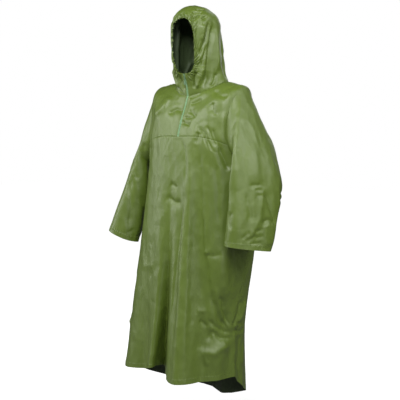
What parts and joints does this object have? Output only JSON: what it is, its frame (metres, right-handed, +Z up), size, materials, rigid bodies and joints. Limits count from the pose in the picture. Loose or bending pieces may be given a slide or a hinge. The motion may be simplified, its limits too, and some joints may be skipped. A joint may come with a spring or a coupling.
{
  "type": "rain poncho",
  "caption": "Long hooded rain poncho with wide sleeves, a yoke and a short zip at the neck, in its worn shape with nobody in it.",
  "frame": {"origin": "middle of the shoulder line, at the base of the neck, where the wearer's shoulders hold the poncho", "axes": "+Z up, +X to the wearer's left, -Y to the front"},
  "size_m": [0.844, 0.4368, 1.6652],
  "materials": {
    "cloth": "coated polyester, soft sheen",
    "zip_tape": "woven tape and nylon coil",
    "zip_hardware": "lacquered, satin"
  },
  "bodies": {
    "poncho": {"yoke_left": "cloth", "yoke_right": "cloth", "front_panel": "cloth", "back_panel": "cloth", "sleeve_left": "cloth", "sleeve_right": "cloth", "hood_left": "cloth", "hood_right": "cloth", "zip_tape_left": "zip_tape", "zip_tape_right": "zip_tape", "zip_coil": "zip_tape", "zip_slider": "zip_hardware"},
    "pull_tab": {"zip_pull_tab": "zip_hardware"}
  },
  "joints": [
    {"name": "pull_tab_swing", "type": "hinge", "parent": "poncho", "child": "pull_tab", "pos_m": [0, -0.11016, 0.03568], "axis": [-1, 0, 0], "range_deg": [-10, 160]}
  ]
}
